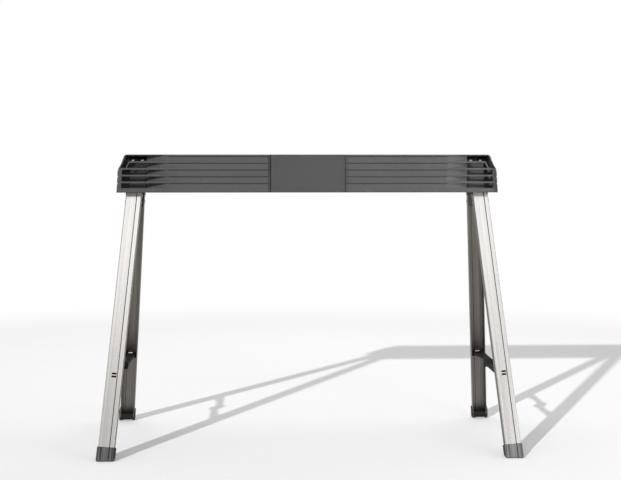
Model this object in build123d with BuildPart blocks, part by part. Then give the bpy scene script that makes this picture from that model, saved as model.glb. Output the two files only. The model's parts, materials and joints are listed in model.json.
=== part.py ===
"""Folding sawhorse: a moulded beam on two folding A-frames of aluminium channel legs.

Millimetres. The floor is Z = 0, the beam lies along X, and the front faces -Y.
"""

from build123d import *
from math import cos, radians, sin
import os

os.makedirs("parts", exist_ok=True)

# Overall sizes of the opened sawhorse
work_height = 813.0
beam_length = 1066.0
beam_height = 106.0
beam_base_depth = 156.0
beam_deck_depth = 148.0

# Walls and ribs of the moulded beam
wall = 4.0
deck = 4.5
rib = 3.0
rib_lift = 6.0
rib_cells = 5
edge_round = 3.0

# Side view of a beam end, measured from its lower corner
end_taper = 3.7
end_upright = 64.0
shoulder_inset = 13.0
shoulder_rise = 15.4
crown_inset = 23.0
crown_round = 9.0

# Plank lines, end windows and the bare plate in the middle of each long side
band_height = 26.4
plank_pitch = 18.8
plank_lines = 5
end_lines = 3
groove = 2.8
groove_depth = 2.2
fin = 4.6
fin_depth = 9.0
plate_width = 212.0
plate_recess = 3.0
plate_gap = 1.5
pocket_length = 66.0
pocket_depth = 28.0
deck_lip = 2.0
deck_lines = 3
deck_line_pitch = 24.0
deck_line_depth = 1.2
deck_line_margin = 60.0

# Leg bays and hinges inside the beam
end_post = 12.0
crown_post = 3.6
crown_setback = 22.5
leg_inset = 54.4
bay_gap = 7.0
hinge_play = 1.0
pivot_drop = 16.0
fold_gap = 3.0
pin_diameter = 10.0
running_fit = 0.05
boss_diameter = 16.0
cell_boss = 6.0
pin_seat = 7.0
pin_tail = 4.0
clip_diameter = 16.0
clip_thickness = 1.2

# Legs: an aluminium channel with its open side inwards
lean = 18.0
splay = 4.6
leg_width = 43.0
leg_depth = 23.0
leg_gauge = 2.0
leg_corner = 2.5
web_line = 2.2
web_line_depth = 1.0
web_line_offset = 9.0

# Moulded head on top of each leg
head_height = 88.0
head_top = 13.0
head_wall = 3.5
head_round = 2.0
knuckle_diameter = 18.0
knuckle_length = 18.0
ear = 4.0
tongue_length = 48.0
tongue_depth = 17.0
moulding_fit = 0.2
rivet_diameter = 5.0
rivet_head = 9.5
rivet_crown = 5.0
rivet_dome = 2.2
rivet_pitch = 22.0

# Feet
foot_height = 37.0
foot_wall = 3.0
foot_sole = 12.0
foot_corner = 6.0
sole_round = 5.0
plug_height = 9.0
sole_arch = 34.0
sole_arch_height = 7.5
sole_arch_reach = 15.0

# Spreader across each A-frame
spreader_height = 213.0
anchor_inset = 13.0
anchor_pin = 4.0
anchor_eye = 8.0
bracket_height = 12.5
bracket_depth = 18.0
bracket_base = 3.0
bracket_lug = 9.0
slot_height = 5.0
slot_drop = 1.2
mark_pitch = 8.0
mark_depth = 1.2
tab_width = 12.5
tab_height = 1.7
tab_proud = 1.3
tab_fit = 0.1
arm_width = 29.0
arm_height = 8.0
arm_side_gap = 0.4
arm_taper_start = 20.0
arm_taper_end = 108.0
arm_recess = 4.5
arm_rim = 3.0
hub_diameter = 22.0
hub_neck = 40.0
lap_gap = 0.5
hub_rivet = 8.0
hub_rivet_head = 14.0
hub_rivet_crown = 9.0
hub_rivet_dome = 1.8

# Places that follow from the sizes above
half_length = beam_length / 2
base_half = beam_base_depth / 2
deck_half = beam_deck_depth / 2
base_z = work_height - beam_height
deck_underside = work_height - deck
pivot_x = half_length - leg_inset
bay_inner = pivot_x - leg_width / 2 - bay_gap
hinge_face = pivot_x + leg_width / 2 + hinge_play
pocket_start = bay_inner - pocket_length
plate_half = plate_width / 2
window = plank_pitch - fin
line_heights = [base_z + band_height + plank_pitch * n for n in range(plank_lines)]
window_tops = [*line_heights[:-1], work_height - deck_lip]
web_offset = leg_depth / 2
pivot_y = leg_depth - web_offset + fold_gap
pivot_z = work_height - pivot_drop
head_width = leg_width + bay_gap - hinge_play
head_shift = (bay_gap - hinge_play) / 2
slot_width = tab_width + 2 * tab_fit
tab_drop = slot_drop + slot_height / 2 - tab_fit - tab_height
through = 2 * leg_width
end_corners = [
    (half_length, base_z),
    (half_length - end_taper, base_z + end_upright),
    (half_length - shoulder_inset, base_z + end_upright + shoulder_rise),
    (half_length - crown_inset, work_height),
]


# Distance of the sloping long side from the middle plane at a height, less an inset
def side(height, inset=0.0):
    return base_half - (base_half - deck_half) * (height - base_z) / beam_height - inset


# Distance of the beam's end from the middle at a height, less an inset
def end_reach(height, inset=0.0):
    spans = list(zip(end_corners, end_corners[1:]))
    low, high = next((span for span in spans if height <= span[1][1]), spans[-1])
    return low[0] + (high[0] - low[0]) * (height - low[1]) / (high[1] - low[1]) - inset


# Corners of a profile across the beam, from the middle plane to the front
def beam_section(low, high, inset):
    return (0, low), (-side(low, inset), low), (-side(high, inset), high), (0, high)


# Plane of a leg: X across the web, Y up the leg, Z out through the web, origin on the hinge axis
def leg_plane(side_sign, face_sign):
    across = Vector(-face_sign, 0, 0)
    upward = Vector(0, -face_sign * sin(radians(lean)), cos(radians(lean)))
    outward = Vector(0, face_sign * cos(radians(lean)), sin(radians(lean)))
    turn = side_sign * face_sign * splay
    x_dir = across * cos(radians(turn)) - upward * sin(radians(turn))
    origin = Vector(side_sign * pivot_x, face_sign * pivot_y, pivot_z)
    return Plane(origin=origin, x_dir=x_dir, z_dir=outward)


# Plane square to a leg at a distance down from its hinge: X across the web, Y out through it
def leg_section(plane, down):
    origin = plane.from_local_coords((0, -down, 0))
    return Plane(origin=origin, x_dir=plane.x_dir, z_dir=-plane.y_dir)


# Space of the leg bay in one quarter of the beam, less the hinge bosses on its two end walls
with BuildPart() as bay:
    with BuildSketch(Plane.XZ):
        with BuildLine():
            Polyline(
                (bay_inner, base_z),
                *[(reach - wall, height) for reach, height in end_corners[:-1]],
                (end_reach(deck_underside, wall), deck_underside),
                (bay_inner, deck_underside),
                close=True,
            )
        make_face()
    extrude(amount=base_half - fin_depth)
    with BuildSketch(Plane.YZ.offset(bay_inner)):
        with Locations((-pivot_y, pivot_z)):
            Circle(boss_diameter / 2)
    extrude(amount=bay_gap - hinge_play, mode=Mode.SUBTRACT)
    with BuildSketch(Plane.YZ.offset(hinge_face)):
        with Locations((-pivot_y, pivot_z)):
            Circle(boss_diameter / 2)
    extrude(amount=half_length - hinge_face, mode=Mode.SUBTRACT)

# One quarter of the beam is modelled and mirrored twice
with BuildPart() as beam:
    with BuildSketch(Plane.XZ) as end_view:
        with BuildLine():
            Polyline(
                (0, base_z),
                *end_corners,
                (0, work_height),
                close=True,
            )
        make_face()
        fillet(end_view.vertices().group_by(Axis.Y)[-1].sort_by(Axis.X)[-1], crown_round)
    extrude(amount=base_half)
    with BuildSketch(Plane.YZ):
        Polygon(*beam_section(base_z, work_height, 0), align=None)
    extrude(amount=half_length, mode=Mode.INTERSECT)
    front = beam.faces().sort_by(Axis.Y)[0]
    fillet(front.edges().filter_by(lambda edge: edge.center().X > edge_round), edge_round)

    # Hollow from below: behind the plate, along the planks, beside the pockets, and the leg bay
    with BuildSketch(Plane.YZ):
        Polygon(*beam_section(base_z, deck_underside, wall + plate_recess), align=None)
    extrude(amount=plate_half + wall, mode=Mode.SUBTRACT)
    with BuildSketch(Plane.YZ.offset(plate_half + wall)):
        Polygon(*beam_section(base_z, deck_underside, wall), align=None)
    extrude(amount=pocket_start - plate_half - wall, mode=Mode.SUBTRACT)
    with BuildSketch(Plane.XY.offset(base_z)):
        with BuildLine():
            Polyline(
                (pocket_start, 0),
                (pocket_start, wall - deck_half),
                (bay_inner - wall, wall + pocket_depth - base_half),
                (bay_inner - wall, 0),
                close=True,
            )
        make_face()
    extrude(amount=beam_height - deck, mode=Mode.SUBTRACT)
    add(bay.part, mode=Mode.SUBTRACT)

    # Stiffening ribs under the deck: one along the middle, which parts the bays, and some across
    rib_base = base_z + rib_lift
    with BuildSketch(Plane.XZ):
        with BuildLine():
            Polyline(
                (0, rib_base),
                (end_reach(rib_base, wall / 2), rib_base),
                *[(reach - wall / 2, height) for reach, height in end_corners[1:-1]],
                (end_reach(deck_underside, wall / 2), deck_underside),
                (0, deck_underside),
                close=True,
            )
        make_face()
    extrude(amount=rib / 2)
    cell = (bay_inner - wall) / rib_cells
    with BuildSketch(*[Plane.YZ.offset(cell * n) for n in range(rib_cells)]):
        Polygon(*beam_section(rib_base, deck_underside, wall / 2 + plate_recess), align=None)
    extrude(amount=rib / 2, both=True)

    # Hinge boss behind the inner wall of the bay, and the bore for the pin, blind at the end wall
    boss_start = bay_inner - wall - cell_boss
    with BuildSketch(Plane.YZ.offset(boss_start)):
        with Locations((-pivot_y, pivot_z)):
            Circle(boss_diameter / 2)
    extrude(amount=cell_boss + wall)
    with BuildSketch(Plane.YZ.offset(boss_start)):
        with Locations((-pivot_y, pivot_z)):
            Circle(pin_diameter / 2 + running_fit)
    extrude(amount=hinge_face + pin_seat - boss_start, mode=Mode.SUBTRACT)

    # Openings between the fins: sloping pockets, and the bay windows that they run out into
    for height, top in zip(line_heights, window_tops):
        with BuildSketch(Plane.XY.offset(height - window)):
            with BuildLine():
                Polyline(
                    (pocket_start, -base_half),
                    (bay_inner, pocket_depth - base_half),
                    (bay_inner, -base_half - wall),
                    (pocket_start, -base_half - wall),
                    close=True,
                )
            make_face()
        extrude(amount=top - height + window, mode=Mode.SUBTRACT)
    crown_base = line_heights[end_lines] - window
    crown_top = line_heights[end_lines] + fin
    post_edge = crown_setback - crown_post
    window_insets = [end_post] * end_lines + [crown_setback] + [wall] * (plank_lines - end_lines - 1)
    with BuildSketch(Plane.XZ.offset(base_half - pocket_depth)):
        for height, top, inset in zip(line_heights, window_tops, window_insets):
            Polygon(
                (bay_inner, height - window),
                (end_reach(height - window, inset), height - window),
                (end_reach(top, inset), top),
                (bay_inner, top),
                align=None,
            )
        Polygon(
            (end_reach(crown_base, post_edge), crown_base),
            (end_reach(crown_base, wall), crown_base),
            (end_reach(crown_top, wall), crown_top),
            (end_reach(crown_top, post_edge), crown_top),
            align=None,
        )
    extrude(amount=pocket_depth + wall, mode=Mode.SUBTRACT)

    # Plank lines along the side and round the end
    with BuildSketch(Plane.YZ.offset(plate_half)):
        for height in line_heights:
            with Locations((-side(height), height)):
                Rectangle(2 * groove_depth, groove, align=(Align.CENTER, Align.MAX))
    extrude(amount=pocket_start + pocket_length / 2 - plate_half, mode=Mode.SUBTRACT)
    with BuildSketch(Plane.XZ):
        for height in line_heights[:end_lines]:
            with Locations((end_reach(height), height)):
                Rectangle(2 * groove_depth, groove, align=(Align.CENTER, Align.MAX))
    extrude(amount=base_half, mode=Mode.SUBTRACT)

    # Bare plate in the middle, and the lines of the deck
    with BuildSketch(Plane.YZ):
        with BuildLine():
            Polyline(
                (-base_half - wall, base_z),
                (-side(base_z, plate_recess), base_z),
                (-side(work_height, plate_recess), work_height),
                (-base_half - wall, work_height),
                close=True,
            )
        make_face()
    extrude(amount=plate_half, mode=Mode.SUBTRACT)
    with BuildSketch(Plane.YZ.offset(plate_half - groove)):
        with BuildLine():
            Polyline(
                (-base_half - wall, base_z),
                (-side(base_z, plate_recess + plate_gap), base_z),
                (-side(work_height, plate_recess + plate_gap), work_height),
                (-base_half - wall, work_height),
                close=True,
            )
        make_face()
    extrude(amount=groove, mode=Mode.SUBTRACT)
    with BuildSketch(Plane.YZ):
        for n in range(deck_lines):
            with Locations((-deck_line_pitch * (n + 0.5), work_height)):
                Rectangle(groove, 2 * deck_line_depth)
    extrude(amount=half_length - deck_line_margin, mode=Mode.SUBTRACT)
    mirror(about=Plane.XZ)
    mirror(about=Plane.YZ)

beam.part.label = "beam"
export_step(beam.part, "parts/beam.step")

# Push-on clips that hold the inner ends of the four hinge pins
clip_x = boss_start - clip_thickness
with BuildPart() as hinge_pin_clips:
    for side_sign in (-1, 1):
        with BuildSketch(Plane.YZ.offset(side_sign * clip_x)):
            with Locations((-pivot_y, pivot_z), (pivot_y, pivot_z)):
                Circle(clip_diameter / 2)
                Circle(pin_diameter / 2, mode=Mode.SUBTRACT)
        extrude(amount=side_sign * clip_thickness)

hinge_pin_clips.part.label = "hinge_pin_clips"
export_step(hinge_pin_clips.part, "parts/hinge_pin_clips.step")

corners = {
    "front_left": (-1, -1),
    "front_right": (1, -1),
    "rear_left": (-1, 1),
    "rear_right": (1, 1),
}

for corner, (side_sign, face_sign) in corners.items():
    plane = leg_plane(side_sign, face_sign)
    hinge_start = side_sign * (clip_x - pin_tail)
    hinge_length = hinge_face + pin_seat - clip_x + pin_tail - moulding_fit

    # Steel pin that the leg swings on
    with BuildPart() as hinge_pin:
        with BuildSketch(Plane.YZ.offset(hinge_start)):
            with Locations((face_sign * pivot_y, pivot_z)):
                Circle(pin_diameter / 2)
        extrude(amount=side_sign * hinge_length)
    hinge_pin.part.label = f"{corner}_hinge_pin"
    export_step(hinge_pin.part, f"parts/{corner}_hinge_pin.step")

    # Place of the spreader's anchor inside the channel
    anchor_out = web_offset - anchor_inset
    anchor_rise = spreader_height - pivot_z - anchor_out * plane.z_dir.Z
    anchor_down = -anchor_rise / plane.y_dir.Z
    anchor = plane.from_local_coords((0, -anchor_down, anchor_out))
    arm_length = abs(anchor.Y)
    arm_axis = Vector(plane.x_dir.X, 0, plane.x_dir.Z).normalized()
    arm_plane = Plane(origin=anchor, x_dir=(0, -face_sign, 0), z_dir=arm_axis)
    inward = -plane.z_dir + arm_axis * plane.z_dir.dot(arm_axis)
    bracket_plane = Plane(origin=anchor, x_dir=inward.normalized(), z_dir=arm_axis)
    slot_rise = -anchor_down - slot_drop
    tab_rise = -anchor_down - tab_drop
    rivet_downs = [head_height + tongue_length / 2 + rivet_pitch * shift for shift in (-0.5, 0.5)]

    # Aluminium channel, cut level above the sole of its foot, with a slot and a pressed mark in its web
    with BuildPart() as leg:
        with BuildSketch(leg_section(plane, head_height)) as channel_section:
            Rectangle(leg_width, leg_depth)
            fillet(channel_section.vertices().group_by(Axis.Y)[-1], leg_corner)
            with Locations((0, -leg_gauge)):
                Rectangle(leg_width - 2 * leg_gauge, leg_depth, mode=Mode.SUBTRACT)
            with Locations((web_line_offset, web_offset)):
                Rectangle(web_line, 2 * web_line_depth, mode=Mode.SUBTRACT)
        extrude(amount=work_height)
        split(bisect_by=Plane.XY.offset(foot_sole), keep=Keep.TOP)
        with BuildSketch(plane.offset(web_offset)):
            with Locations((0, slot_rise)):
                Rectangle(slot_width, slot_height)
        extrude(amount=-leg_gauge, mode=Mode.SUBTRACT)
        with BuildSketch(plane.offset(web_offset)):
            with Locations((0, slot_rise + mark_pitch)):
                Rectangle(slot_width, slot_height)
        extrude(amount=-mark_depth, mode=Mode.SUBTRACT)
        with BuildSketch(Plane(plane.origin, x_dir=plane.y_dir, z_dir=plane.x_dir)):
            with Locations(*[(-down, 0) for down in rivet_downs]):
                Circle(rivet_diameter / 2 + running_fit)
        extrude(amount=leg_width, both=True, mode=Mode.SUBTRACT)
    leg.part.label = f"{corner}_leg"
    export_step(leg.part, f"parts/{corner}_leg.step")

    # Head: an upright block that fills the bay, a tongue in the channel, and a knuckle and ears on the pin
    upright = Plane(origin=plane.origin, x_dir=(-face_sign, 0, 0), z_dir=plane.z_dir)
    head_centre = side_sign * face_sign * head_shift
    with BuildPart() as head:
        with BuildSketch(leg_section(upright, head_top)):
            with Locations((head_centre, 0)):
                RectangleRounded(head_width, leg_depth, head_round)
        extrude(amount=head_height)
        split(bisect_by=leg_section(plane, head_height), keep=Keep.BOTTOM)
        inner_width = leg_width - 2 * leg_gauge - 2 * moulding_fit
        tongue_centre = web_offset - leg_gauge - moulding_fit - tongue_depth / 2
        with BuildSketch(leg_section(plane, head_height)):
            with Locations((0, tongue_centre)):
                RectangleRounded(inner_width, tongue_depth, head_round)
        extrude(amount=tongue_length)
        ear_shift = (leg_width - ear) / 2
        for centre, length in ((-ear_shift, ear), (0, knuckle_length), (ear_shift, ear)):
            with BuildSketch(Plane.YZ.offset(side_sign * pivot_x + centre)):
                with Locations(Location((face_sign * pivot_y, pivot_z), face_sign * lean)):
                    Circle(knuckle_diameter / 2)
                    Rectangle(knuckle_diameter, head_top + head_wall, align=(Align.CENTER, Align.MAX))
            extrude(amount=length / 2, both=True)
        # Coring from the inner side, with a bridge left between the two hollows
        core_top = head_top + head_wall
        core_length = (head_height - head_top - 4 * head_wall) / 2
        core_width = head_width - 2 * head_wall
        with BuildSketch(upright.offset(-web_offset)):
            for start in (core_top, core_top + core_length + head_wall):
                with Locations((head_centre, -start)):
                    Rectangle(core_width, core_length, align=(Align.CENTER, Align.MAX))
        extrude(amount=leg_depth - head_wall, mode=Mode.SUBTRACT)
        with BuildSketch(Plane.YZ):
            with Locations((face_sign * pivot_y, pivot_z)):
                Circle(pin_diameter / 2 + running_fit)
        extrude(amount=side_sign * half_length, mode=Mode.SUBTRACT)
        with BuildSketch(Plane(plane.origin, x_dir=plane.y_dir, z_dir=plane.x_dir)):
            with Locations(*[(-down, 0) for down in rivet_downs]):
                Circle(rivet_diameter / 2 + running_fit)
        extrude(amount=leg_width, both=True, mode=Mode.SUBTRACT)
    head.part.label = f"{corner}_head"
    export_step(head.part, f"parts/{corner}_head.step")

    # Rivets through both flanges and the tongue
    with BuildPart() as head_rivets:
        for down in rivet_downs:
            axis_point = plane.from_local_coords((0, -down, 0))
            with BuildSketch(Plane(axis_point, x_dir=plane.x_dir, z_dir=plane.z_dir)):
                with BuildLine():
                    Polyline(
                        (-leg_width / 2 - rivet_dome, 0),
                        (leg_width / 2 + rivet_dome, 0),
                        (leg_width / 2 + rivet_dome, rivet_crown / 2),
                        (leg_width / 2, rivet_head / 2),
                        (leg_width / 2, rivet_diameter / 2),
                        (-leg_width / 2, rivet_diameter / 2),
                        (-leg_width / 2, rivet_head / 2),
                        (-leg_width / 2 - rivet_dome, rivet_crown / 2),
                        close=True,
                    )
                make_face()
            revolve(axis=Axis(axis_point, plane.x_dir))
    head_rivets.part.label = f"{corner}_head_rivets"
    export_step(head_rivets.part, f"parts/{corner}_head_rivets.step")

    # Socket of the foot, which takes the end of the channel, and the plug that stands inside it
    foot_down = (pivot_z + web_offset * plane.z_dir.Z - foot_height) / plane.y_dir.Z
    with BuildPart() as socket:
        with BuildSketch(leg_section(plane, foot_down)):
            with Locations((0, -leg_gauge)):
                Rectangle(leg_width + 2 * tab_fit, leg_depth + 2 * (leg_gauge + tab_fit))
        extrude(amount=2 * foot_height)
        split(bisect_by=Plane.XY.offset(foot_sole), keep=Keep.TOP)
    web_inside = web_offset - leg_gauge
    plug_depth = web_inside - moulding_fit + web_offset
    with BuildPart() as plug:
        with BuildSketch(leg_section(plane, foot_down)):
            with Locations((0, web_inside - moulding_fit)):
                Rectangle(inner_width, plug_depth, align=(Align.CENTER, Align.MAX))
        extrude(amount=2 * foot_height)
        split(bisect_by=Plane.XY.offset(foot_sole), keep=Keep.TOP)
        split(bisect_by=Plane.XY.offset(foot_sole + plug_height), keep=Keep.BOTTOM)

    # Foot: a boot round the web and the flanges, open on the inner side and arched under it
    with BuildPart() as foot:
        with BuildSketch(leg_section(plane, foot_down)) as foot_section:
            with Locations((0, foot_wall / 2)):
                Rectangle(leg_width + 2 * foot_wall, leg_depth + foot_wall)
            fillet(foot_section.vertices().group_by(Axis.Y)[-1], foot_corner)
        extrude(amount=2 * foot_height)
        split(bisect_by=Plane.XY, keep=Keep.TOP)
        sole_edges = foot.faces().sort_by(Axis.Z)[0].edges()
        fillet(sole_edges.sort_by(Axis.Y, reverse=face_sign < 0)[1:], sole_round)
        add(socket.part, mode=Mode.SUBTRACT)
        add(plug.part)
        with BuildSketch(leg_section(plane, foot_down)):
            with Locations((web_line_offset, web_offset + foot_wall)):
                Rectangle(web_line, 2 * web_line_depth)
        extrude(amount=2 * foot_height, mode=Mode.SUBTRACT)
        inner_down = (pivot_z - web_offset * plane.z_dir.Z) / plane.y_dir.Z
        inner_edge = plane.from_local_coords((0, -inner_down, -web_offset))
        arch_start = inner_edge - Vector(0, face_sign * sole_arch_height, 0)
        with BuildSketch(Plane(arch_start, x_dir=(1, 0, 0), z_dir=(0, face_sign, 0))):
            RectangleRounded(sole_arch, 2 * sole_arch_height, sole_arch_height / 2)
        extrude(amount=sole_arch_reach + sole_arch_height, mode=Mode.SUBTRACT)
    foot.part.label = f"{corner}_foot"
    export_step(foot.part, f"parts/{corner}_foot.step")

    # Bracket inside the channel: a base on the web, a tab in the slot, and two ears for the arm's pin
    with BuildPart() as bracket:
        with BuildSketch(plane.offset(web_inside)):
            with Locations((0, -anchor_down)):
                Rectangle(inner_width, through)
        extrude(amount=-bracket_depth)
        with BuildSketch(bracket_plane):
            Circle(bracket_lug / 2)
            with Locations((anchor_out - web_inside, -tab_drop)):
                Rectangle(2 * bracket_base, bracket_height, align=(Align.CENTER, Align.MAX))
            make_hull()
        extrude(amount=leg_width, both=True, mode=Mode.INTERSECT)
        with BuildSketch(bracket_plane):
            with Locations((anchor_out - web_inside + bracket_base, 0)):
                Rectangle(through, through, align=(Align.MIN, Align.CENTER))
        extrude(amount=arm_width / 2 + arm_side_gap, both=True, mode=Mode.SUBTRACT)
        with BuildSketch(plane.offset(web_inside)):
            with Locations((0, tab_rise)):
                Rectangle(slot_width, bracket_lug, align=(Align.CENTER, Align.MIN))
        extrude(amount=-2 * bracket_base, mode=Mode.SUBTRACT)
        with BuildSketch(plane.offset(web_inside)):
            with Locations((0, tab_rise)):
                Rectangle(tab_width, tab_height, align=(Align.CENTER, Align.MAX))
        extrude(amount=leg_gauge + tab_proud)
        with BuildSketch(bracket_plane):
            Circle(anchor_pin / 2 + running_fit)
        extrude(amount=leg_width, both=True, mode=Mode.SUBTRACT)
    bracket.part.label = f"{corner}_bracket"
    export_step(bracket.part, f"parts/{corner}_bracket.step")

    # Pin that the spreader arm turns on
    with BuildPart() as bracket_pin:
        with BuildSketch(bracket_plane):
            Circle(anchor_pin / 2)
        extrude(amount=inner_width / 2, both=True)
    bracket_pin.part.label = f"{corner}_bracket_pin"
    export_step(bracket_pin.part, f"parts/{corner}_bracket_pin.step")

    # Spreader arm: it tapers on one side from its eye to a tongue, which laps the other arm at the hub
    lap_width = arm_width / 2 - lap_gap
    arm_plan = Plane(origin=anchor, x_dir=arm_plane.x_dir, z_dir=arm_plane.y_dir)
    with BuildPart() as arm:
        with BuildSketch(arm_plane):
            with Locations((arm_length, 0)):
                Circle(hub_diameter / 2)
            with Locations((arm_length - hub_neck, 0)):
                Circle(arm_height / 2)
            make_hull()
            Circle(anchor_eye / 2)
            Rectangle(arm_length, arm_height, align=(Align.MIN, Align.CENTER))
        extrude(amount=arm_width / 2, both=True)
        with BuildSketch(arm_plan):
            Polygon(
                (-anchor_eye, arm_width / 2),
                (-anchor_eye, -arm_width / 2),
                (arm_taper_start, -arm_width / 2),
                (arm_taper_end, lap_gap),
                (arm_length + hub_diameter, lap_gap),
                (arm_length + hub_diameter, arm_width / 2),
                align=None,
            )
        extrude(amount=hub_diameter, both=True, mode=Mode.INTERSECT)
        with BuildSketch(arm_plan.offset(arm_recess - arm_height / 2)):
            Polygon(
                (anchor_eye, arm_width / 2 - arm_rim),
                (anchor_eye, arm_rim - arm_width / 2),
                (arm_taper_start, arm_rim - arm_width / 2),
                (arm_taper_end, lap_gap + arm_rim),
                (arm_taper_end, arm_width / 2 - arm_rim),
                align=None,
            )
        extrude(amount=-arm_height, mode=Mode.SUBTRACT)
        with BuildSketch(arm_plane):
            Circle(anchor_pin / 2 + running_fit)
            with Locations((arm_length, 0)):
                Circle(hub_rivet / 2 + running_fit)
        extrude(amount=arm_width, both=True, mode=Mode.SUBTRACT)
    arm.part.label = f"{corner}_arm"
    export_step(arm.part, f"parts/{corner}_arm.step")

    # Half of the hub's rivet, flush with the lap face
    hub_centre = arm_plane.from_local_coords((arm_length, 0, 0))
    with BuildPart() as hub_half_rivet:
        with BuildSketch(Plane(hub_centre, x_dir=arm_axis, z_dir=arm_plane.y_dir)):
            with BuildLine():
                Polyline(
                    (-lap_gap, 0),
                    (-lap_gap, hub_rivet / 2),
                    (-lap_gap - lap_width, hub_rivet / 2),
                    (-lap_gap - lap_width, hub_rivet_head / 2),
                    (-lap_gap - lap_width - hub_rivet_dome, hub_rivet_crown / 2),
                    (-lap_gap - lap_width - hub_rivet_dome, 0),
                    close=True,
                )
            make_face()
        revolve(axis=Axis(hub_centre, arm_axis))
    hub_half_rivet.part.label = f"{corner}_hub_rivet"
    export_step(hub_half_rivet.part, f"parts/{corner}_hub_rivet.step")
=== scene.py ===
import bpy
import bmesh
import json
from math import radians, sin, cos
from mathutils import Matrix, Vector


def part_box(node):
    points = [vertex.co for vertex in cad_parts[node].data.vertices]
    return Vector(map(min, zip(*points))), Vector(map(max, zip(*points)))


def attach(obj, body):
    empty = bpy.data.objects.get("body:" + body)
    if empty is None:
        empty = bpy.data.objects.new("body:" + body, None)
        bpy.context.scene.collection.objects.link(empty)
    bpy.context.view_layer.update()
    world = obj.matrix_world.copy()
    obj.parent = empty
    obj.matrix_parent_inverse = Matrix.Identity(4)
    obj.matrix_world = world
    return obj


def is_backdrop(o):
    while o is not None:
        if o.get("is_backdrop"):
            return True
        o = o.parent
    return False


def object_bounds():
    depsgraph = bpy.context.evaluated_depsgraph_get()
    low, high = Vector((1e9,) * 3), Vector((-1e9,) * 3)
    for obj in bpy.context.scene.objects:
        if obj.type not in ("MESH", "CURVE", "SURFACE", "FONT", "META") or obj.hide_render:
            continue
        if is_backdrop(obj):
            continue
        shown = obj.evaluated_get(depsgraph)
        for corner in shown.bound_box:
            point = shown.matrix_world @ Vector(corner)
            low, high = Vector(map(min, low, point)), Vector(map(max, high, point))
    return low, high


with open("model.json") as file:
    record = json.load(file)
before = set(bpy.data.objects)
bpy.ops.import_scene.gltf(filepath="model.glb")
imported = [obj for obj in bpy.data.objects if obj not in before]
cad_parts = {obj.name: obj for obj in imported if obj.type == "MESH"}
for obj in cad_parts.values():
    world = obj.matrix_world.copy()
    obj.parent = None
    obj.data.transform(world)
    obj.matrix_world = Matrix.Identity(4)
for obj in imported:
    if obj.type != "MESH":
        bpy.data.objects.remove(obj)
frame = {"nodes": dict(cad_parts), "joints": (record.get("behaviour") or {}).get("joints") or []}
nodes = frame["nodes"]
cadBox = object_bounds()
scene = bpy.context.scene
scene.view_settings.view_transform = "Standard"
print("frame loaded:", len(nodes), "nodes")


# a socket that adds maths nodes when it meets an operator
class Wire:
    def __init__(self, tree, socket=None):
        self.tree = tree
        self.socket = socket

    # any node: its type, its settings, then the values or links of its sockets
    def node(self, kind, settings, inputs, output=0):
        made = self.tree.nodes.new(kind)
        for name, value in settings.items():
            setattr(made, name, value)
        for name, value in inputs.items():
            if isinstance(value, Wire):
                self.tree.links.new(value.socket, made.inputs[name])
            else:
                made.inputs[name].default_value = value
        return Wire(self.tree, made.outputs[output])

    def maths(self, operation, *values):
        return self.node("ShaderNodeMath", {"operation": operation}, dict(enumerate(values)))

    def __add__(self, other):
        return self.maths("ADD", self, other)

    def __radd__(self, other):
        return self.maths("ADD", other, self)

    def __sub__(self, other):
        return self.maths("SUBTRACT", self, other)

    def __rsub__(self, other):
        return self.maths("SUBTRACT", other, self)

    def __mul__(self, other):
        return self.maths("MULTIPLY", self, other)

    def __rmul__(self, other):
        return self.maths("MULTIPLY", other, self)

    def __truediv__(self, other):
        return self.maths("DIVIDE", self, other)

    def __lt__(self, other):
        return self.maths("LESS_THAN", self, other)

    def __abs__(self):
        return self.maths("ABSOLUTE", self)

    def __round__(self):
        return self.maths("ROUND", self)


neutral = (1.0, 1.0, 1.0)


def srgb(level, tint=neutral):    # 0-255 picture level to a linear colour
    value = level / 255
    linear = value / 12.92 if value <= 0.04045 else ((value + 0.055) / 1.055) ** 2.4
    return tuple(linear * t for t in tint)


def shades(level, spread, tint=neutral):    # a darker and a lighter colour about a level
    return srgb(level - spread, tint), srgb(level + spread, tint)


def ramp(value, low, high):    # smooth step between two numbers
    return value.node("ShaderNodeMapRange", {"interpolation_type": "SMOOTHSTEP"},
                      {0: value, 1: low, 2: high, 3: 0.0, 4: 1.0})


def band(value, low, high, soft):    # 1 between two numbers, with soft flanks
    return ramp(value, low - soft, low) * (1 - ramp(value, high, high + soft))


def within(distance, half, soft):    # 1 up to a distance, with a soft flank
    return 1 - ramp(distance, half, half + soft)


def axes(point):    # the three coordinates of a point
    return [point.node("ShaderNodeSeparateXYZ", {}, {0: point}, n) for n in range(3)]


def mixColour(factor, first, second):
    ends = [(*c, 1.0) if isinstance(c, tuple) else c for c in (first, second)]
    return factor.node("ShaderNodeMix", {"data_type": "RGBA"}, {0: factor, 6: ends[0], 7: ends[1]}, 2)


def noise(point, scale, detail=2.0, rough=0.5):
    return point.node("ShaderNodeTexNoise", {}, {"Vector": point, "Scale": scale,
                                                 "Detail": detail, "Roughness": rough})


def streaks(point, scales, detail, rough=0.5):    # noise with its own scale along each axis
    stretched = point.node("ShaderNodeVectorMath", {"operation": "MULTIPLY"}, {0: point, 1: scales})
    return noise(stretched, 1.0, detail, rough)


def blankMaterial(name):
    material = bpy.data.materials.new(name)
    material.use_nodes = True
    tree = material.node_tree
    shader = next(n for n in tree.nodes if n.type == "BSDF_PRINCIPLED")
    point = Wire(tree).node("ShaderNodeTexCoord", {}, {}, "Object")
    return material, shader, point


def plug(shader, **links):    # links to the shader's sockets by name
    for name, wire in links.items():
        wire.tree.links.new(wire.socket, shader.inputs[name.replace("_", " ")])


def bump(height, distance):
    return height.node("ShaderNodeBump", {}, {"Height": height, "Distance": distance})


legLook = {"lean": 18.0, "splay": 4.6, "lineAt": 0.009, "lineHalf": 0.0011}


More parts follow.
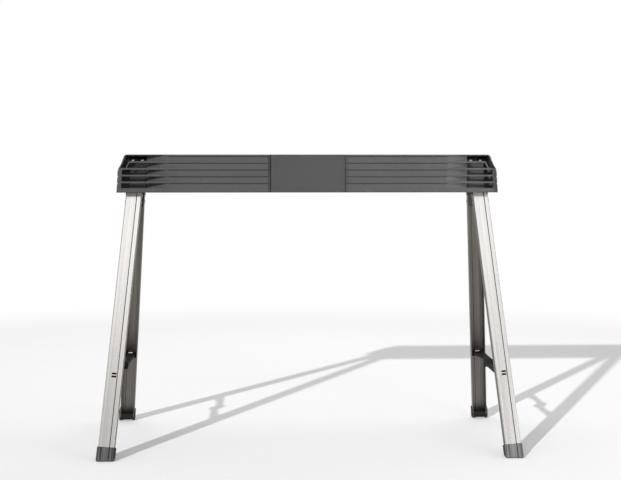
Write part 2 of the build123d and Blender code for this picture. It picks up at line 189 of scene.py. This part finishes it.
# a leg's own frame from its hinge: across the web, along the leg, out through the web, and all three
def legFrame(point, pivot, sideSign, faceSign):
    lean = radians(legLook["lean"])
    turn = radians(sideSign * faceSign * legLook["splay"])
    upright = Vector((0, -faceSign * sin(lean), cos(lean)))
    outward = Vector((0, faceSign * cos(lean), sin(lean)))
    across = Vector((-faceSign, 0, 0)) * cos(turn) - upright * sin(turn)
    start = point.node("ShaderNodeVectorMath", {"operation": "SUBTRACT"}, {0: point, 1: pivot})
    parts = [start.node("ShaderNodeVectorMath", {"operation": "DOT_PRODUCT"}, {0: start, 1: axis}, "Value")
             for axis in (across, outward.cross(across), outward)]
    return *parts, start.node("ShaderNodeCombineXYZ", {}, dict(enumerate(parts)))


# moulded plastics: a fine spark-eroded grain, soft colour clouds and rubbed patches
mouldLook = {"rubRange": (0.56, 0.72), "rubPaler": 30, "rubPolish": 0.08, "grainRough": 0.10}


def mouldedPlastic(name, look, detail=None):
    material, shader, point = blankMaterial(name)
    clouds = noise(point, look["cloudScale"], detail=3.0)
    grain = noise(point, look["grainScale"], rough=0.6)
    rubbed = ramp(noise(point, look["rubScale"], detail=4.0, rough=0.65), *mouldLook["rubRange"])
    colour = mixColour(clouds, *shades(look["level"], look["spread"], look["tint"]))
    paler = srgb(look["level"] + mouldLook["rubPaler"], look["tint"])
    colour = mixColour(rubbed * look["rub"], colour, paler)
    rough = look["rough"] + (grain - 0.5) * mouldLook["grainRough"] - rubbed * mouldLook["rubPolish"]
    height = grain
    if detail:
        colour, rough, height = detail(point, colour, rough, height)
    plug(shader, Base_Color=colour, Roughness=rough, Normal=bump(height, look["grainDepth"]))
    shader.inputs["Specular IOR Level"].default_value = look["specular"]
    return material


# depths are under a face, and drops under the deck; three numbers are a low, a high and a softness
beamLook = {
    "level": 75, "spread": 4, "tint": neutral, "cloudScale": 7.0, "grainScale": 1400.0,
    "grainDepth": 0.00012, "rubScale": 26.0, "rub": 0.10, "rough": 0.56, "specular": 0.22,
    "deckTop": 0.813, "deckHalf": 0.074, "baseHalf": 0.078, "height": 0.106,
    "halfLength": 0.533, "endTaper": 0.058,
    "lineAt": 0.7320, "linePitch": 0.0188, "lineHalf": 0.0014, "lineSoft": 0.0003,
    "lineDepth": (0.0008, 0.0030, 0.0006), "planks": (0.1062, 0.388, 0.0004), "endLinesTo": (0.773, 0.776),
    "plateEdge": 0.103, "plateDepth": (0.0022, 0.0038, 0.0004), "plateLevel": 67, "plateShade": 0.8,
    "joint": (0.103, 0.1061, 0.0002), "jointDepth": (0.0034, 0.0050, 0.0004),
    # rim: a painted shadow on the planks beside the plate, weaker at the right half; post: painted shade
    # on the right end posts
    "rim": (0.1066, 0.112, 0.0008), "rimDepth": 0.0008, "rimDrop": (0.0040, 0.0020), "rimShadow": 1.05,
    "rimRight": 0.35, "post": (0.0008, 0.0125, 0.0006), "postDepth": 0.0030,
    # the strength, level and patches of the painted shade and shadow
    "shadeAndGrime": 0.75, "shadeAndGrimeLevel": 42, "shadeAndGrimeTint": (1.0, 0.985, 0.96), "shadeAndGrimeScale": 60.0,
    "shadeAndGrimeLeast": 0.6, "shadeAndGrimeRough": 0.25,
    "deckDrop": (0.0008, 0.0002), "scuffScales": (60.0, 9.0, 60.0), "scuffRange": (0.55, 0.75),
    "scuffAndPaintedLight": 0.45, "scuffPaler": 38, "scuffRough": 0.15, "scuffCut": 0.4,
    "edgeDrop": (0.0034, 0.0010), "edgeScale": 45.0, "edgeRange": (0.40, 0.62), "edgeRub": 0.40,
    "edgePaler": 26,
}


# painted shade and shadow, patchy like grime, in the lines, beside the bare plate and on the right posts;
# a darker plate tone, rubbed upper edges, scuffs on the deck
def beamWearAndShade(point, colour, rough, height):
    look = beamLook
    x, y, z = axes(point)
    leftHalf = x < 0.0
    x, y = abs(x), abs(y)
    rise = z - (look["deckTop"] - look["height"])
    draft = (look["baseHalf"] - look["deckHalf"]) / look["height"]
    inset = look["baseHalf"] - rise * draft - y    # depth under the sloping long side
    endInset = look["halfLength"] - rise * look["endTaper"] - x

    def fromDeck(drops):    # smooth step between two drops under the deck
        return ramp(z, *(look["deckTop"] - drop for drop in drops))

    row = (z - look["lineAt"]) / look["linePitch"]
    line = within(abs(row - round(row)) * look["linePitch"], look["lineHalf"], look["lineSoft"])
    # the lines, the end lines and the joint are darkened below as painted shade in these grooves
    groove = band(x, *look["planks"]) * line * band(inset, *look["lineDepth"])
    ends = line * band(endInset, *look["lineDepth"]) * (1 - ramp(z, *look["endLinesTo"]))
    joint = band(x, *look["joint"]) * band(inset, *look["jointDepth"])
    plate = (x < look["plateEdge"]) * band(inset, *look["plateDepth"])
    colour = mixColour(plate * look["plateShade"], colour, srgb(look["plateLevel"]))
    # a painted shadow on the planks beside the plate, weaker at the right half
    rim = band(x, *look["rim"]) * (inset < look["rimDepth"]) * (1 - fromDeck(look["rimDrop"]))
    rim = rim * (look["rimRight"] + (1 - look["rimRight"]) * leftHalf) * look["rimShadow"]
    # painted shade on the posts of the right end only
    post = band(endInset, *look["post"]) * (inset < look["postDepth"]) * (1 - leftHalf)
    patchy = look["shadeAndGrimeLeast"] + (1 - look["shadeAndGrimeLeast"]) * noise(point, look["shadeAndGrimeScale"], detail=3.0)
    # all of it is painted shade and shadow, broken into patches like grime
    shadeAndGrime = (groove + ends + joint + rim + post) * patchy * look["shadeAndGrime"]
    colour = mixColour(shadeAndGrime, colour, srgb(look["shadeAndGrimeLevel"], look["shadeAndGrimeTint"]))
    deck = fromDeck(look["deckDrop"])
    strokes = ramp(streaks(point, look["scuffScales"], detail=5.0, rough=0.7), *look["scuffRange"])
    scuffAndPaintedLight = deck * strokes * look["scuffAndPaintedLight"]
    colour = mixColour(scuffAndPaintedLight, colour, srgb(look["level"] + look["scuffPaler"]))
    worn = ramp(noise(point, look["edgeScale"], detail=4.0), *look["edgeRange"])
    edge = fromDeck(look["edgeDrop"]) * worn * (1 - deck)
    colour = mixColour(edge * look["edgeRub"], colour, srgb(look["level"] + look["edgePaler"]))
    rough = rough + scuffAndPaintedLight * look["scuffRough"] + shadeAndGrime * look["shadeAndGrimeRough"]
    return colour, rough, height - scuffAndPaintedLight * look["scuffCut"]


# the heads' plastic in two copies for painted light: darker at the left end, where the heads lie in shade,
# paler at the right end, where light falls on them
headLook = {
    "shadedLevels": {"left": 42, "right": 70}, "spread": 4, "tint": neutral, "cloudScale": 18.0,
    "grainScale": 1600.0, "grainDepth": 0.00010, "rubScale": 40.0, "rub": 0.12, "rough": 0.52,
    "specular": 0.30,
}
spreaderLook = {
    "level": 25, "spread": 3, "tint": neutral, "cloudScale": 22.0, "grainScale": 1700.0,
    "grainDepth": 0.00008, "rubScale": 45.0, "rub": 0.08, "rough": 0.66, "specular": 0.06,
}
beamPlastic = mouldedPlastic("beamPlastic", beamLook, beamWearAndShade)
headShadedCopies = {side: mouldedPlastic(side + "HeadPlasticShadeCopy", {**headLook, "level": level})
               for side, level in headLook["shadedLevels"].items()}
spreaderPlastic = mouldedPlastic("spreaderPlastic", spreaderLook)

# boots: black inside, a paler drag-textured skin on the outer faces, floor dust along the sole, and each
# corner's skin painted paler where light falls on it and darker where it is in shade
bootLook = {
    "level": 27, "spread": 3, "tint": neutral, "cloudScale": 30.0, "grainScale": 1500.0,
    "grainDepth": 0.00016, "rubScale": 60.0, "rub": 0.10, "rough": 0.58, "specular": 0.22,
    "skinOut": (0.0108, 0.0120), "skinLevel": 78, "skinStreak": 22,
    "streakScales": (420.0, 8.0, 420.0), "streakRange": (0.35, 0.68), "streakDepth": 0.6,
    "dustTop": 0.012, "dustScale": 90.0, "dust": 0.35, "dustLevel": 132, "dustTint": (1.0, 0.97, 0.92),
    "dustRough": 0.2, "lineLevel": 34, "lineSoft": 0.0003, "lineOut": (0.0138, 0.0143), "lineShade": 0.8,
    # painted light: each corner's skin level, raised at the right front and lowered at the left front
    "scuffAndPaintedLight": {"front_left": -10, "front_right": 24, "rear_left": 4, "rear_right": -4},
}


def bootPlastic(name, pivot, sideSign, faceSign, scuffAndPaintedLight):
    def outerSkin(point, colour, rough, height):
        look = bootLook
        wide, _, out, local = legFrame(point, pivot, sideSign, faceSign)
        skin = ramp(out, *look["skinOut"])
        streak = ramp(streaks(local, look["streakScales"], detail=3.0), *look["streakRange"])
        # the corner's painted-light shift is added to the skin level
        pale = mixColour(streak, *shades(look["skinLevel"] + scuffAndPaintedLight, look["skinStreak"]))
        colour = mixColour(skin, colour, pale)
        # painted shade: the groove down the outer face is darkened
        line = within(abs(wide - legLook["lineAt"]), legLook["lineHalf"], look["lineSoft"])
        line = line * skin * (1 - ramp(out, *look["lineOut"]))
        colour = mixColour(line * look["lineShade"], colour, srgb(look["lineLevel"]))
        low = 1 - ramp(axes(point)[2], 0.0, look["dustTop"])
        dust = low * noise(point, look["dustScale"], detail=4.0) * look["dust"]
        colour = mixColour(dust, colour, srgb(look["dustLevel"], look["dustTint"]))
        return colour, rough + dust * look["dustRough"], height + streak * skin * look["streakDepth"]
    return mouldedPlastic(name, bootLook, outerSkin)


print("plastics ready")

# aluminium channels: brushed along the leg outside, a matt drawn finish on the flanges and inside that is
# also painted darker as shade and dark reflection
channelLook = {
    "webFrom": (0.0103, 0.0109), "bright": 179, "streak": 14, "brightTint": (1.0, 0.976, 0.950),
    # the inside and flange levels: a matt finish, painted darker as shade and dark reflection
    "dullShaded": 120, "dullStreak": 20, "dullTint": (1.0, 0.930, 0.840),
    "strokeScales": (900.0, 6.0, 900.0), "strokeDepth": 0.00006, "strokeRough": 0.16, "strokeShare": 0.45,
    "drawScales": (300.0, 1.6, 300.0), "drawRange": (0.30, 0.70), "drawShare": 0.6, "cloudScale": 9.0,
    # lip: a painted highlight on the flange lips
    "lipOut": (-0.0105, -0.0099), "lipLevel": 150, "lipShine": 0.5,
    "flangeFrom": (0.0211, 0.0213), "flangeShadeLevel": 96,
    "lineLevel": 70, "lineSoft": 0.0002, "lineOut": (0.0096, 0.0112, 0.0003),
    "markAt": -0.60875, "markHalf": 0.0026, "markWide": 0.00645, "markOut": (0.0101, 0.0112, 0.0001),
    "markLevel": 30, "brightRough": 0.25, "dullRough": 0.46, "dimFrom": (0.6950, 0.6985), "dimRough": 0.60,
}


def channelAluminium(name, pivot, sideSign, faceSign):
    look = channelLook
    material, shader, point = blankMaterial(name)
    wide, along, out, local = legFrame(point, pivot, sideSign, faceSign)
    strokes = streaks(local, look["strokeScales"], detail=4.0, rough=0.6)
    draws = ramp(streaks(local, look["drawScales"], detail=3.0, rough=0.55), *look["drawRange"])
    clouds = noise(local, look["cloudScale"], detail=3.0)
    brushed = strokes * look["strokeShare"] + draws * (1 - look["strokeShare"])
    bright = mixColour(brushed, *shades(look["bright"], look["streak"], look["brightTint"]))
    drawn = draws * look["drawShare"] + clouds * (1 - look["drawShare"])
    # painted shade and dark reflection make the flanges and inside darker than the web
    dullShaded = mixColour(drawn, *shades(look["dullShaded"], look["dullStreak"], look["dullTint"]))
    # painted highlight: the flange lips are made paler
    lip = 1 - ramp(out, *look["lipOut"])
    dullShaded = mixColour(lip * look["lipShine"], dullShaded, srgb(look["lipLevel"], look["dullTint"]))
    # painted dark reflection on the flanges' outer sides
    side = mixColour(draws, *shades(look["flangeShadeLevel"], look["dullStreak"], look["dullTint"]))
    dullShaded = mixColour(ramp(abs(wide), *look["flangeFrom"]), dullShaded, side)
    web = ramp(out, *look["webFrom"])
    colour = mixColour(web, dullShaded, bright)
    # painted shade: the groove down the web is darkened
    line = within(abs(wide - legLook["lineAt"]), legLook["lineHalf"], look["lineSoft"])
    line = line * band(out, *look["lineOut"])
    colour = mixColour(line, colour, srgb(look["lineLevel"], look["dullTint"]))
    mark = (abs(along - look["markAt"]) < look["markHalf"]) * (abs(wide) < look["markWide"])
    colour = mixColour(mark * band(out, *look["markOut"]), colour, srgb(look["markLevel"]))
    rough = look["dullRough"] - web * (look["dullRough"] - look["brightRough"])
    rough = rough + (strokes - 0.5) * look["strokeRough"]
    dim = ramp(axes(point)[2], *look["dimFrom"])    # the strip close under the beam has lost its shine
    rough = rough + dim * look["dimRough"]
    plug(shader, Base_Color=colour, Roughness=rough, Normal=bump(strokes, look["strokeDepth"]))
    shader.inputs["Metallic"].default_value = 1.0
    return material


# bright rivets and zinc-plated pins
def turnedMetal(name, look):
    material, shader, point = blankMaterial(name)
    clouds = noise(point, look["cloudScale"], detail=3.0)
    fine = noise(point, look["fineScale"])
    colour = mixColour(clouds, *shades(look["level"], look["spread"], look["tint"]))
    rough = look["rough"] + (fine - 0.5) * look["fineRough"]
    plug(shader, Base_Color=colour, Roughness=rough, Normal=bump(fine, look["depth"]))
    shader.inputs["Metallic"].default_value = 1.0
    return material


rivetLook = {"level": 148, "spread": 10, "tint": (1.0, 0.960, 0.910), "cloudScale": 120.0,
             "fineScale": 2200.0, "fineRough": 0.12, "rough": 0.34, "depth": 0.00004}
steelLook = {"level": 226, "spread": 10, "tint": (0.99, 1.0, 1.0), "cloudScale": 90.0,
             "fineScale": 2600.0, "fineRough": 0.12, "rough": 0.42, "depth": 0.00003}
rivetAluminium = turnedMetal("rivetAluminium", rivetLook)
zincSteel = turnedMetal("zincSteel", steelLook)
print("metals ready")


def dress(node, material):
    slots = nodes[node].material_slots
    if not slots:
        nodes[node].data.materials.append(material)
    for slot in slots:
        slot.material = material


hingeAt = {joint["child"]: Vector(joint["pos_m"]) for joint in frame["joints"]}
dress("beam", beamPlastic)
dress("hinge_pin_clips", zincSteel)
for corner in ("front_left", "front_right", "rear_left", "rear_right"):
    face, side = corner.split("_")
    faceSign = -1 if face == "front" else 1
    sideSign = -1 if side == "left" else 1
    hinge = hingeAt[corner + "_leg_frame"]
    # each corner's boot takes its painted-light shift
    bootPaintedLight = bootLook["scuffAndPaintedLight"][corner]
    dress(corner + "_leg", channelAluminium(corner + "Aluminium", hinge, sideSign, faceSign))
    # each end's heads take their painted-light copy
    dress(corner + "_head", headShadedCopies[side])
    dress(corner + "_foot", bootPlastic(corner + "Boot", hinge, sideSign, faceSign, bootPaintedLight))
    dress(corner + "_bracket", spreaderPlastic)
    dress(corner + "_arm", spreaderPlastic)
    dress(corner + "_hinge_pin", zincSteel)
    dress(corner + "_bracket_pin", zincSteel)
    dress(corner + "_head_rivets", rivetAluminium)
    dress(corner + "_hub_rivet", spreaderPlastic)
print("nodes dressed")

# pale paper floor that fades into the white background, and keeps the shadow
floorLook = {"size": 14.0, "level": 254, "spread": 1, "cloudScale": 3.0, "bounceLevel": 200,
             "fadeRange": (2.5, 3.6), "rough": 0.9, "specular": 0.1}
floorMesh = bmesh.new()
bmesh.ops.create_grid(floorMesh, x_segments=1, y_segments=1, size=floorLook["size"])
floorData = bpy.data.meshes.new("floor")
floorMesh.to_mesh(floorData)
floorMesh.free()
floor = bpy.data.objects.new("floor", floorData)
scene.collection.objects.link(floor)
floor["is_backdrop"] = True


# the floor lies under both pairs of soles, also when folding lets one pair down
def marker(name, place):
    spot = bpy.data.objects.new(name, None)
    spot.location = place
    scene.collection.objects.link(spot)
    return spot


def follow(owner, kind, target, **settings):
    rule = owner.constraints.new(kind)
    rule.target = target
    for name, value in settings.items():
        setattr(rule, name, value)


soleLevels = []
for side in ("left", "right"):
    low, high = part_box("front_" + side + "_foot")
    middle = (low[0] + high[0]) / 2
    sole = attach(marker(side + "Sole", (middle, low[1], low[2])), "front_" + side + "_leg_frame")
    soleLevels.append(marker(side + "Level", (middle, 0, 0)))
    follow(soleLevels[-1], "COPY_LOCATION", sole, use_x=False, use_y=False)
cradle = marker("floorCradle", soleLevels[0].location)
follow(cradle, "COPY_LOCATION", soleLevels[0])
follow(cradle, "DAMPED_TRACK", soleLevels[1], track_axis="TRACK_X")
floor.parent = cradle
floor.location = -cradle.location


def seenRay(tree):    # 1 on camera, glossy and transmission rays
    kinds = ("Is Camera Ray", "Is Glossy Ray", "Is Transmission Ray")
    first, *others = [Wire(tree).node("ShaderNodeLightPath", {}, {}, kind) for kind in kinds]
    return sum(others, first)


floorMaterial, floorShader, floorPoint = blankMaterial("floorPaper")
seen = seenRay(floorMaterial.node_tree)
reach = floorPoint.node("ShaderNodeVectorMath", {"operation": "LENGTH"}, {0: floorPoint}, "Value")
fade = seen * ramp(reach, *floorLook["fadeRange"])
paperShades = shades(floorLook["level"], floorLook["spread"])
paper = mixColour(noise(floorPoint, floorLook["cloudScale"]), *paperShades)
plug(floorShader, Base_Color=mixColour(seen, srgb(floorLook["bounceLevel"]), paper))
floorShader.inputs["Roughness"].default_value = floorLook["rough"]
floorShader.inputs["Specular IOR Level"].default_value = floorLook["specular"]
glow = seen.node("ShaderNodeEmission", {}, {"Color": (1, 1, 1, 1), "Strength": 1.0})
lit = Wire(seen.tree, floorShader.outputs[0])
paperShader = seen.node("ShaderNodeMixShader", {}, {0: fade, 1: lit, 2: glow})
floorOut = next(n for n in seen.tree.nodes if n.type == "OUTPUT_MATERIAL")
seen.tree.links.new(paperShader.socket, floorOut.inputs["Surface"])
floorData.materials.append(floorMaterial)

# studio: white surroundings, a small key far off at the left front, and four soft boxes
studio = {
    "ambient": 0.28,
    "key": {"left": 28.5, "up": 22.0, "strength": 3.1, "spread": 1.0},
    "boxes": {
        "overhead": {"at": (0.3, 1.5, 3.4), "aim": (0.3, 1.4, 0.0), "size": (4.5, 4.0), "watts": 50.0},
        "front": {"at": (0.1, -4.4, 3.6), "aim": (0.0, 0.0, 0.4), "size": (3.4, 1.8), "watts": 26.0},
        "side": {"at": (1.7, -2.3, 0.8), "aim": (0.5, 0.0, 0.6), "size": (1.0, 1.0), "watts": 10.0},
        "right": {"at": (1.6, -0.6, 0.76), "aim": (0.52, -0.07, 0.76), "size": (0.4, 0.4), "watts": 0.64,
                  "spread": 34.0},    # a grid keeps it off the floor
    },
}
world = bpy.data.worlds.new("studio")
scene.world = world
world.use_nodes = True
backdrop = next(n for n in world.node_tree.nodes if n.type == "BACKGROUND")
skyStrength = studio["ambient"] + seenRay(world.node_tree) * (1 - studio["ambient"])
world.node_tree.links.new(skyStrength.socket, backdrop.inputs["Strength"])
backdrop.inputs["Color"].default_value = (1, 1, 1, 1)


def hang(name, lamp, heading):    # a lamp in the scene, turned to shine along a heading
    holder = bpy.data.objects.new(name, lamp)
    holder.rotation_euler = Vector(heading).to_track_quat("-Z", "Y").to_euler()
    scene.collection.objects.link(holder)
    return holder


left, up = radians(studio["key"]["left"]), radians(studio["key"]["up"])
keyLamp = bpy.data.lights.new("key", "SUN")
keyLamp.energy = studio["key"]["strength"]
keyLamp.angle = radians(studio["key"]["spread"])
key = hang("key", keyLamp, (sin(left) * cos(up), cos(left) * cos(up), -sin(up)))
key.visible_glossy = False    # its glint would bleach the metal
for boxName, box in studio["boxes"].items():
    boxLamp = bpy.data.lights.new(boxName, "AREA")
    boxLamp.shape = "RECTANGLE"
    boxLamp.size, boxLamp.size_y = box["size"]
    boxLamp.energy = box["watts"]
    boxLamp.spread = radians(box.get("spread", 180.0))
    softBox = hang(boxName, boxLamp, Vector(box["aim"]) - Vector(box["at"]))
    softBox.location = box["at"]
    softBox.visible_camera = False
print("studio lit")

# camera at the photograph's angle
shot = {"yaw": 2.1721, "pitch": 3.3613, "distance": 3.6081, "aside": 0.00926, "height": 0.78174,
        "focalPixels": 1264.37, "widthPixels": 621, "sensor": 36.0}
yaw = radians(shot["yaw"])
camera = bpy.data.cameras.new("camera")
camera.sensor_fit = "HORIZONTAL"
camera.sensor_width = shot["sensor"]
camera.lens = shot["focalPixels"] / shot["widthPixels"] * shot["sensor"]
cameraObject = bpy.data.objects.new("camera", camera)
cameraObject.location = (shot["aside"] * cos(yaw) - shot["distance"] * sin(yaw),
                         -shot["aside"] * sin(yaw) - shot["distance"] * cos(yaw), shot["height"])
cameraObject.rotation_euler = (radians(90 - shot["pitch"]), 0, -yaw)
scene.collection.objects.link(cameraObject)
scene.camera = cameraObject

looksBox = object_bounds()
{"cad": [list(c) for c in cadBox], "visual": [list(c) for c in looksBox]}
